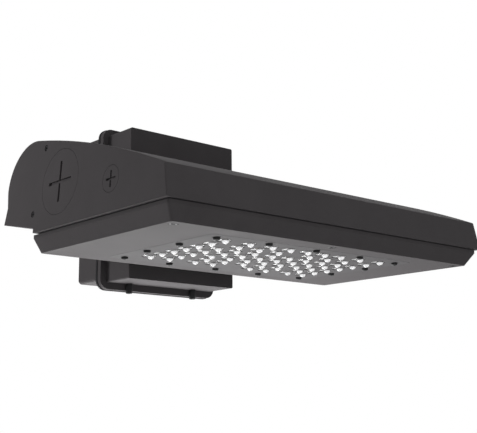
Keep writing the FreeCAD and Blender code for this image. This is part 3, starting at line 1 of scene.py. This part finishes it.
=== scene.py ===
import json
import math
import bpy
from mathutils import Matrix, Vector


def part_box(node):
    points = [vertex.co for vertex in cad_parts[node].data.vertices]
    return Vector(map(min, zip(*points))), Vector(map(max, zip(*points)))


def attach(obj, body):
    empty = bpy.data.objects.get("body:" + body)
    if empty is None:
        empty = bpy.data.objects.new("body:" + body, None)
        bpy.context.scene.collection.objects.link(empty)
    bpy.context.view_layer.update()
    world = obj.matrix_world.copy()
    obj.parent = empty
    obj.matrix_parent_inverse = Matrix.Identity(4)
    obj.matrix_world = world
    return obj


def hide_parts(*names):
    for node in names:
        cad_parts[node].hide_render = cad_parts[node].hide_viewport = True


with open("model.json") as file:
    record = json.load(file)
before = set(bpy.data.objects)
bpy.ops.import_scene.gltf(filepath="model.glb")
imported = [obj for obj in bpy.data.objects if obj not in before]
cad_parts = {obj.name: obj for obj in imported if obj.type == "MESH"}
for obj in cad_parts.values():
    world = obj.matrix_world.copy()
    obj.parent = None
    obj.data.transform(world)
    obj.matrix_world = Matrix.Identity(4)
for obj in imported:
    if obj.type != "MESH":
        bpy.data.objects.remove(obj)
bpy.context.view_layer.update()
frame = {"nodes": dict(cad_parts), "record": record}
nodes = frame["nodes"]
print("frame loaded:", len(nodes), "nodes")


# materials

patchNoise = {"Detail": 4, "Roughness": 0.6}
grainNoise = {"Detail": 2, "Roughness": 0.5}
tintSpan = (0.35, 0.65)
roughSpan = (0.3, 0.7)


def newFinish(name):
    mat = bpy.data.materials.new(name)
    mat.use_nodes = True
    tree = mat.node_tree
    return mat, tree, tree.nodes["Principled BSDF"]


def addNode(tree, kind, settings=None, inputs=None):
    node = tree.nodes.new(kind)
    for key, val in (settings or {}).items():
        setattr(node, key, val)
    for key, val in (inputs or {}).items():
        node.inputs[key].default_value = val
    return node


def noiseField(tree, scale, noise):
    coords = addNode(tree, "ShaderNodeTexCoord")
    field = addNode(tree, "ShaderNodeTexNoise", None, {"Scale": scale, **noise})
    tree.links.new(coords.outputs["Object"], field.inputs["Vector"])
    return field.outputs["Fac"]


def tint(tree, fac, shader, dark, light):
    ramp = addNode(tree, "ShaderNodeValToRGB")
    for element, position, color in zip(ramp.color_ramp.elements, tintSpan, (dark, light)):
        element.position = position
        element.color = (*color, 1)
    tree.links.new(fac, ramp.inputs["Fac"])
    tree.links.new(ramp.outputs["Color"], shader.inputs["Base Color"])


def roughen(tree, fac, shader, low, high):
    span = {"From Min": roughSpan[0], "From Max": roughSpan[1], "To Min": low, "To Max": high}
    spread = addNode(tree, "ShaderNodeMapRange", None, span)
    tree.links.new(fac, spread.inputs["Value"])
    tree.links.new(spread.outputs["Result"], shader.inputs["Roughness"])


def bumpy(tree, fac, shader, strength, depth):
    bump = addNode(tree, "ShaderNodeBump", None, {"Strength": strength, "Distance": depth})
    tree.links.new(fac, bump.inputs["Height"])
    tree.links.new(bump.outputs["Normal"], shader.inputs["Normal"])


# Each finish: two tints, their patch size and the roughness range, then the surface grain and the shine
finishes = {
    "painted_casting": {
        "dark": (0.063, 0.0585, 0.0608), "light": (0.073, 0.068, 0.0707), "patch": 14, "rough": (0.62, 0.74),
        "grain": 620, "strength": 0.16, "depth": 0.0003, "metal": 0.0, "specular": 0.06},
    "lens_plate": {
        "dark": (0.07, 0.067, 0.0695), "light": (0.08, 0.077, 0.0795), "patch": 20, "rough": (0.62, 0.72),
        "grain": 700, "strength": 0.12, "depth": 0.0002, "metal": 0.0, "specular": 0.06},
    "seal": {
        "dark": (0.012, 0.012, 0.013), "light": (0.022, 0.022, 0.024), "patch": 60, "rough": (0.68, 0.82),
        "grain": 900, "strength": 0.1, "depth": 0.0002, "metal": 0.0, "specular": 0.3},
    "black_screw": {
        "dark": (0.008, 0.008, 0.009), "light": (0.02, 0.02, 0.021), "patch": 140, "rough": (0.5, 0.62),
        "grain": 1500, "strength": 0.08, "depth": 0.0001, "metal": 0.0, "specular": 0.2},
    "nylon": {
        "dark": (0.74, 0.73, 0.68), "light": (0.82, 0.81, 0.77), "patch": 50, "rough": (0.4, 0.55),
        "grain": 900, "strength": 0.06, "depth": 0.0001, "metal": 0.0, "specular": 0.5},
    "heat_sink": {
        "dark": (0.42, 0.42, 0.43), "light": (0.53, 0.53, 0.54), "patch": 30, "rough": (0.34, 0.5),
        "grain": 800, "strength": 0.14, "depth": 0.0002, "metal": 1.0, "specular": 0.5},
    "plated_steel": {
        "dark": (0.5, 0.5, 0.51), "light": (0.66, 0.66, 0.68), "patch": 45, "rough": (0.26, 0.42),
        "grain": 1200, "strength": 0.06, "depth": 0.0001, "metal": 1.0, "specular": 0.5},
    "board": {
        "dark": (0.78, 0.79, 0.78), "light": (0.88, 0.89, 0.88), "patch": 90, "rough": (0.3, 0.45),
        "grain": 500, "strength": 0.05, "depth": 0.0001, "metal": 0.0, "specular": 0.5},
    "phosphor": {
        "dark": (0.82, 0.6, 0.12), "light": (0.92, 0.74, 0.22), "patch": 300, "rough": (0.25, 0.4),
        "grain": 2000, "strength": 0.05, "depth": 0.0001, "metal": 0.0, "specular": 0.5},
    "driver_case": {
        "dark": (0.06, 0.06, 0.065), "light": (0.085, 0.085, 0.09), "patch": 35, "rough": (0.5, 0.65),
        "grain": 1100, "strength": 0.12, "depth": 0.0002, "metal": 0.0, "specular": 0.4},
    "surge_case": {
        "dark": (0.02, 0.02, 0.022), "light": (0.035, 0.035, 0.038), "patch": 40, "rough": (0.45, 0.6),
        "grain": 1100, "strength": 0.1, "depth": 0.0002, "metal": 0.0, "specular": 0.4},
    "terminal_body": {
        "dark": (0.72, 0.69, 0.6), "light": (0.8, 0.77, 0.68), "patch": 60, "rough": (0.4, 0.55),
        "grain": 1000, "strength": 0.06, "depth": 0.0001, "metal": 0.0, "specular": 0.5},
    "ground": {
        "dark": (0.1, 0.3, 0.1), "light": (0.16, 0.42, 0.15), "patch": 120, "rough": (0.28, 0.4),
        "grain": 1400, "strength": 0.06, "depth": 0.0001, "metal": 0.8, "specular": 0.5},
    "lead_line": {
        "dark": (0.014, 0.014, 0.015), "light": (0.026, 0.026, 0.027), "patch": 120, "rough": (0.42, 0.55),
        "grain": 900, "strength": 0.05, "depth": 0.0001, "metal": 0.0, "specular": 0.5},
    "lead_neutral": {
        "dark": (0.72, 0.71, 0.68), "light": (0.8, 0.79, 0.77), "patch": 120, "rough": (0.42, 0.55),
        "grain": 900, "strength": 0.05, "depth": 0.0001, "metal": 0.0, "specular": 0.5},
    "lead_earth": {
        "dark": (0.025, 0.2, 0.05), "light": (0.045, 0.27, 0.075), "patch": 120, "rough": (0.42, 0.55),
        "grain": 900, "strength": 0.05, "depth": 0.0001, "metal": 0.0, "specular": 0.5},
}


def solidFinish(name, look):
    mat, tree, shader = newFinish(name)
    patches = noiseField(tree, look["patch"], patchNoise)
    grain = noiseField(tree, look["grain"], grainNoise)
    tint(tree, patches, shader, look["dark"], look["light"])
    roughen(tree, patches, shader, *look["rough"])
    bumpy(tree, grain, shader, look["strength"], look["depth"])
    shader.inputs["Metallic"].default_value = look["metal"]
    shader.inputs["Specular IOR Level"].default_value = look["specular"]
    return mat


clearOptic = {
    "dark": (0.96, 0.96, 0.97), "light": (0.99, 0.99, 1.0), "patch": 220, "rough": (0.22, 0.32),
    "ior": 1.49, "through": 1.0,
}


def clearFinish(name, look):
    mat, tree, shader = newFinish(name)
    haze = noiseField(tree, look["patch"], grainNoise)
    tint(tree, haze, shader, look["dark"], look["light"])
    roughen(tree, haze, shader, *look["rough"])
    shader.inputs["Transmission Weight"].default_value = look["through"]
    shader.inputs["IOR"].default_value = look["ior"]
    return mat


materials = {slotName: solidFinish(slotName, look) for slotName, look in finishes.items()}
materials["optic"] = clearFinish("optic", clearOptic)


def dress(obj, slotName):
    obj.data.materials.clear()
    obj.data.materials.append(materials[slotName])


for part in frame["record"]["subparts"]:
    dress(nodes[part["node"]], part["material_slot"])
print("materials on", len(nodes), "CAD nodes")


# modelling helpers

mergeReach = 0.000002
screwShade = 32
hexSides = 6


def clearSelection():
    bpy.ops.object.select_all(action="DESELECT")


def pick(obj):
    clearSelection()
    obj.select_set(True)
    bpy.context.view_layer.objects.active = obj


def meshMode(mode):
    bpy.ops.object.mode_set(mode=mode)


def applyPlace(obj):
    pick(obj)
    bpy.ops.object.transform_apply(location=True, rotation=True, scale=True)


def softShade(obj, angle):
    pick(obj)
    bpy.ops.object.shade_smooth_by_angle(angle=math.radians(angle))


def applyModifier(obj, kind, settings):
    modifier = obj.modifiers.new(kind.lower(), kind)
    for key, val in settings.items():
        setattr(modifier, key, val)
    bpy.context.view_layer.objects.active = obj
    bpy.ops.object.modifier_apply(modifier=modifier.name)


def combine(obj, operation, other):
    applyModifier(obj, "BOOLEAN", {"operation": operation, "solver": "EXACT", "object": other})
    bpy.data.objects.remove(other)


def metres(size):
    return size / 1000


def millimetres(length):
    return length * 1000


def ringStack(name, sides, rings):
    # a turned shape about Z: each ring is (radius, height) in mm, with the first and the last one capped
    clearSelection()
    radius, height = [metres(size) for size in rings[0]]
    spot = (0, 0, height)
    bpy.ops.mesh.primitive_circle_add(vertices=sides, radius=radius, fill_type="NGON", location=spot)
    obj = bpy.context.object
    obj.name = name
    meshMode("EDIT")
    for ring in rings[1:]:
        nextRadius, nextHeight = [metres(size) for size in ring]
        bpy.ops.mesh.extrude_region_move(TRANSFORM_OT_translate={"value": (0, 0, nextHeight - height)})
        grow = nextRadius / radius
        bpy.ops.transform.resize(value=(grow, grow, 1), center_override=(0, 0, nextHeight))
        radius, height = nextRadius, nextHeight
    bpy.ops.mesh.select_all(action="SELECT")
    bpy.ops.mesh.normals_make_consistent(inside=False)
    meshMode("OBJECT")
    applyPlace(obj)
    return obj


def cutSocket(obj, look, face):
    # a hex socket sunk into the head's face at this height, in mm
    clearSelection()
    radius, depth = metres(look["socket"]), metres(look["depth"])
    spot = (0, 0, metres(face))
    bpy.ops.mesh.primitive_cylinder_add(vertices=hexSides, radius=radius, depth=2 * depth, location=spot)
    combine(obj, "DIFFERENCE", bpy.context.object)


def turnedScrew(name, look, rings, face):
    screw = ringStack(name, look["sides"], rings)
    cutSocket(screw, look, face)
    softShade(screw, screwShade)
    return screw


def joinAs(name, pieces):
    clearSelection()
    for piece in pieces:
        piece.select_set(True)
        bpy.context.view_layer.objects.active = piece
    bpy.ops.object.join()
    joined = bpy.context.object
    applyPlace(joined)
    joined.name = name
    return joined


def copyTo(master, name, spots):
    # copies with their own meshes, joined into one piece
    twins = []
    for spot in spots:
        twin = master.copy()
        twin.data = master.data.copy()
        twin.location = spot
        bpy.context.collection.objects.link(twin)
        twins.append(twin)
    return joinAs(name, twins)


def solidBoxes(nodeName):
    # low and high corners of each solid in a CAD node
    probe = bpy.data.objects.new("probe", nodes[nodeName].data.copy())
    bpy.context.collection.objects.link(probe)
    pick(probe)
    meshMode("EDIT")
    bpy.ops.mesh.select_all(action="SELECT")
    bpy.ops.mesh.remove_doubles(threshold=mergeReach)
    bpy.ops.mesh.separate(type="LOOSE")
    meshMode("OBJECT")
    boxes = []
    for solid in list(bpy.context.selected_objects):
        spots = [vert.co for vert in solid.data.vertices]
        low = [min(spot[axis] for spot in spots) for axis in range(3)]
        high = [max(spot[axis] for spot in spots) for axis in range(3)]
        boxes.append((low, high))
        bpy.data.objects.remove(solid)
    return sorted(boxes)


def middle(box):
    return [(low + high) / 2 for low, high in zip(*box)]


def settle(obj, body, slotName, *replaced):
    dress(obj, slotName)
    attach(obj, body)
    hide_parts(*replaced)


# optics: a flanged lens sunk in the plate, and a tall hump on its front half over a hollow for the chip
# each ring is its radius and its distance below the flange's top, in mm
opticShape = {
    "sides": 24,
    "lens": [(8.7, 0.0), (9.0, 0.25), (9.0, 0.8), (7.6, 0.8), (7.6, 3.25), (7.3, 3.45), (1.0, 3.45)],
    "hump": [(3.9, 2.8), (3.9, 4.2), (3.7, 4.9), (3.25, 5.7), (2.6, 6.4), (1.85, 6.95), (1.0, 7.35),
             (0.3, 7.5)],
    "hollow": [(3.6, -1.0), (3.6, 4.1)],
    "shift": -2.9, "shade": 50,
}


def makeOptics():
    boxes = solidBoxes("optics")
    lens, hump, hollow = [
        ringStack(name, opticShape["sides"], [(radius, -drop) for radius, drop in opticShape[name]])
        for name in ("lens", "hump", "hollow")
    ]
    for extra in (hump, hollow):
        extra.location.y = metres(opticShape["shift"])
        applyPlace(extra)
    combine(lens, "UNION", hump)
    combine(lens, "DIFFERENCE", hollow)
    softShade(lens, opticShape["shade"])
    spots = []
    for box in boxes:
        x, y, _ = middle(box)
        spots.append((x, y, box[1][2]))
    settle(copyTo(lens, "opticDomes", spots), "lens_door", "optic", "optics")
    bpy.data.objects.remove(lens)
    print("optics:", len(spots))


makeOptics()

# lens plate screws: domed heads with a hex socket
lensScrew = {
    "sides": 28,
    "rings": [(1.5, 6.4), (2.0, 5.9), (2.0, -0.1), (3.6, -0.1), (3.8, -0.3), (3.75, -1.1), (3.55, -1.8),
              (3.15, -2.4), (2.6, -2.8), (2.0, -3.0)],
    "socket": 1.5, "depth": 1.4,
}


def makeLensScrews():
    boxes = solidBoxes("lens_screws")
    face = lensScrew["rings"][-1][1]
    screw = turnedScrew("lensScrew", lensScrew, lensScrew["rings"], face)
    spots = []
    for box in boxes:
        x, y, _ = middle(box)
        spots.append((x, y, box[0][2] - metres(face)))
    settle(copyTo(screw, "lensScrews", spots), "lens_door", "black_screw", "lens_screws")
    bpy.data.objects.remove(screw)
    print("lens screws:", len(spots))


makeLensScrews()

# captive door screws: flush cap heads, threaded tips
doorScrew = {
    "sides": 28, "length": 25.0, "radius": 2.5, "root": 2.12, "pitch": 0.8, "turns": 9,
    "chamfer": 0.4, "crest": 0.12,
    "head": [(2.5, 3.5), (4.3, 3.5), (4.5, 3.25), (4.5, 0.45), (4.2, 0.1), (4.0, 0.0)],
    "socket": 2.4, "depth": 2.0,
}


def makeDoorScrews():
    tip, pitch, chamfer = doorScrew["length"], doorScrew["pitch"], doorScrew["chamfer"]
    radius, root = doorScrew["radius"], doorScrew["root"]
    rings = [(root - chamfer, tip)]
    for turn in range(doorScrew["turns"]):
        crest = tip - chamfer - turn * pitch
        rings += [(radius, crest), (radius, crest - doorScrew["crest"]), (root, crest - pitch / 2)]
    rings += [(radius, rings[-1][1] - pitch / 2)] + doorScrew["head"]
    screw = turnedScrew("doorScrew", doorScrew, rings, rings[-1][1])
    sides = ("left", "center", "right")
    for side in sides:
        node = "door_screw_" + side
        low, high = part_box(node)
        spot = ((low[0] + high[0]) / 2, (low[1] + high[1]) / 2, low[2])
        name = "doorScrew" + side.capitalize()
        settle(copyTo(screw, name, [spot]), "screw_" + side, "black_screw", node)
    bpy.data.objects.remove(screw)
    print("door screws:", len(sides))


makeDoorScrews()

# side screws: low pan heads in the end panels, with shanks that differ in length
sideScrew = {
    "sides": 24,
    "head": [(2.8, 0.0), (3.1, 0.2), (3.1, 0.8), (2.8, 1.3), (2.2, 1.6)],
    "shank": 2.0, "chamfer": 0.4, "chamferRise": 0.5, "socket": 1.4, "depth": 0.9,
}


def makeSideScrews():
    shank, tall = sideScrew["shank"], sideScrew["head"][-1][1]
    screws = []
    for box in solidBoxes("side_screws"):
        x, y, z = middle(box)
        side = 1 if x > 0 else -1
        outer = box[1][0] if x > 0 else -box[0][0]
        inner = box[0][0] if x > 0 else -box[1][0]
        reach = millimetres(outer - inner) - tall
        tip = [(shank - sideScrew["chamfer"], -reach), (shank, sideScrew["chamferRise"] - reach)]
        screw = turnedScrew("sideScrew", sideScrew, tip + [(shank, 0.0)] + sideScrew["head"], tall)
        screw.location = (side * (outer - metres(tall)), y, z)
        screw.rotation_euler = (0, side * math.pi / 2, 0)
        screws.append(screw)
    settle(joinAs("sideScrews", screws), "wall_unit", "black_screw", "side_screws")
    print("side screws:", len(screws))


makeSideScrews()

# lock bolts under the arm: tall cap heads with a hex socket
lockBolt = {
    "sides": 32,
    "head": [(2.5, 0.0), (3.75, 0.0), (4.0, -0.3), (4.0, -11.3), (3.7, -11.8), (3.3, -12.0)],
    "shank": 2.5, "chamfer": 0.5, "chamferRise": 0.6, "socket": 2.4, "depth": 3.5,
}


def makeLockBolts():
    boxes = solidBoxes("lock_bolts")
    shank, face = lockBolt["shank"], lockBolt["head"][-1][1]
    reach = millimetres(boxes[0][1][2] - boxes[0][0][2]) + face
    rings = [(shank - lockBolt["chamfer"], reach), (shank, reach - lockBolt["chamferRise"])]
    bolt = turnedScrew("lockBolt", lockBolt, rings + lockBolt["head"], face)
    spots = []
    for box in boxes:
        x, y, _ = middle(box)
        spots.append((x, y, box[0][2] - metres(face)))
    settle(copyTo(bolt, "lockBolts", spots), "wall_unit", "black_screw", "lock_bolts")
    bpy.data.objects.remove(bolt)
    print("lock bolts:", len(spots))


makeLockBolts()


# stage, light and camera

white = (1, 1, 1, 1)
studio = {
    "floorSize": 80, "floorZ": -2.4, "floorColor": (0.8, 0.8, 0.8, 1), "floorRough": 0.9,
    "ambient": 0.2, "whiten": 0.9, "lift": 0.095,
}


def seenRays(tree):
    path = addNode(tree, "ShaderNodeLightPath")
    pair = addNode(tree, "ShaderNodeMath", {"operation": "MAXIMUM"})
    every = addNode(tree, "ShaderNodeMath", {"operation": "MAXIMUM"})
    tree.links.new(path.outputs["Is Camera Ray"], pair.inputs[0])
    tree.links.new(path.outputs["Is Glossy Ray"], pair.inputs[1])
    tree.links.new(pair.outputs[0], every.inputs[0])
    tree.links.new(path.outputs["Is Transmission Ray"], every.inputs[1])
    return path.outputs["Is Camera Ray"], every.outputs[0]


def makeFloor():
    clearSelection()
    bpy.ops.mesh.primitive_plane_add(size=studio["floorSize"], location=(0, 0, studio["floorZ"]))
    floor = bpy.context.object
    floor.name = "floor"
    mat, tree, shader = newFinish("pale_floor")
    shader.inputs["Base Color"].default_value = studio["floorColor"]
    shader.inputs["Roughness"].default_value = studio["floorRough"]
    cameraRay, seen = seenRays(tree)
    # the glow makes up, for the camera alone, what the floor's own shade lacks to be white
    lift = addNode(tree, "ShaderNodeMath", {"operation": "MULTIPLY_ADD"}, {1: studio["lift"], 2: 1.0})
    glow = addNode(tree, "ShaderNodeEmission", None, {"Color": white})
    share = addNode(tree, "ShaderNodeMath", {"operation": "MULTIPLY"}, {1: studio["whiten"]})
    blend = addNode(tree, "ShaderNodeMixShader")
    tree.links.new(cameraRay, lift.inputs[0])
    tree.links.new(lift.outputs[0], glow.inputs["Strength"])
    tree.links.new(seen, share.inputs[0])
    tree.links.new(share.outputs[0], blend.inputs["Fac"])
    tree.links.new(shader.outputs[0], blend.inputs[1])
    tree.links.new(glow.outputs[0], blend.inputs[2])
    tree.links.new(blend.outputs[0], tree.nodes["Material Output"].inputs["Surface"])
    floor.data.materials.append(mat)


def makeWorld():
    world = bpy.data.worlds.new("studio")
    bpy.context.scene.world = world
    world.use_nodes = True
    tree = world.node_tree
    soft = tree.nodes["Background"]
    soft.inputs["Color"].default_value = white
    soft.inputs["Strength"].default_value = studio["ambient"]
    bright = addNode(tree, "ShaderNodeBackground", None, {"Color": white, "Strength": 1.0})
    blend = addNode(tree, "ShaderNodeMixShader")
    tree.links.new(seenRays(tree)[1], blend.inputs["Fac"])
    tree.links.new(soft.outputs[0], blend.inputs[1])
    tree.links.new(bright.outputs[0], blend.inputs[2])
    tree.links.new(blend.outputs[0], tree.nodes["World Output"].inputs["Surface"])


lamps = {
    "lowLamp": {"place": (0.2, 0.3, -0.66), "size": 0.8, "power": 13, "glossy": True},
    "leftLamp": {"place": (-1.15, 0.85, 0.0), "size": 0.5, "power": 14, "glossy": False},
    "frontLamp": {"place": (-0.3, -1.6, -0.3), "size": 1.2, "power": 6.3, "glossy": False},
    "topLamp": {"place": (-0.3, -0.5, 1.8), "size": 1.6, "power": 8, "glossy": False},
    "rightLamp": {"place": (1.5, 0.9, 0.4), "size": 1.2, "power": 9, "glossy": False},
}
lampTarget = (0.0, -0.25, -0.02)


def makeLamps():
    for name, setup in lamps.items():
        bpy.ops.object.light_add(type="AREA", location=setup["place"])
        lamp = bpy.context.object
        lamp.name = name
        lamp.data.size = setup["size"]
        lamp.data.energy = setup["power"]
        lamp.visible_camera = False
        lamp.visible_transmission = False
        lamp.visible_glossy = setup["glossy"]
        away = [place - goal for place, goal in zip(setup["place"], lampTarget)]
        flat = math.hypot(away[0], away[1])
        lamp.rotation_euler = (math.atan2(flat, away[2]), 0, math.atan2(away[0], -away[1]))


cameraSetup = {
    "place": (-0.7201, -1.0208, -0.2442), "turn": (101.389, 0.432, -41.201), "lens": 72.91,
    "sensor": 36, "near": 0.01,
}


def makeCamera():
    bpy.ops.object.camera_add(location=cameraSetup["place"])
    camera = bpy.context.object
    camera.rotation_euler = [math.radians(angle) for angle in cameraSetup["turn"]]
    camera.data.lens = cameraSetup["lens"]
    camera.data.sensor_width = cameraSetup["sensor"]
    camera.data.sensor_fit = "HORIZONTAL"
    camera.data.clip_start = cameraSetup["near"]
    bpy.context.scene.camera = camera


makeFloor()
makeWorld()
makeLamps()
makeCamera()
bpy.context.scene.view_settings.view_transform = "Standard"
print("stage, lamps and camera set")
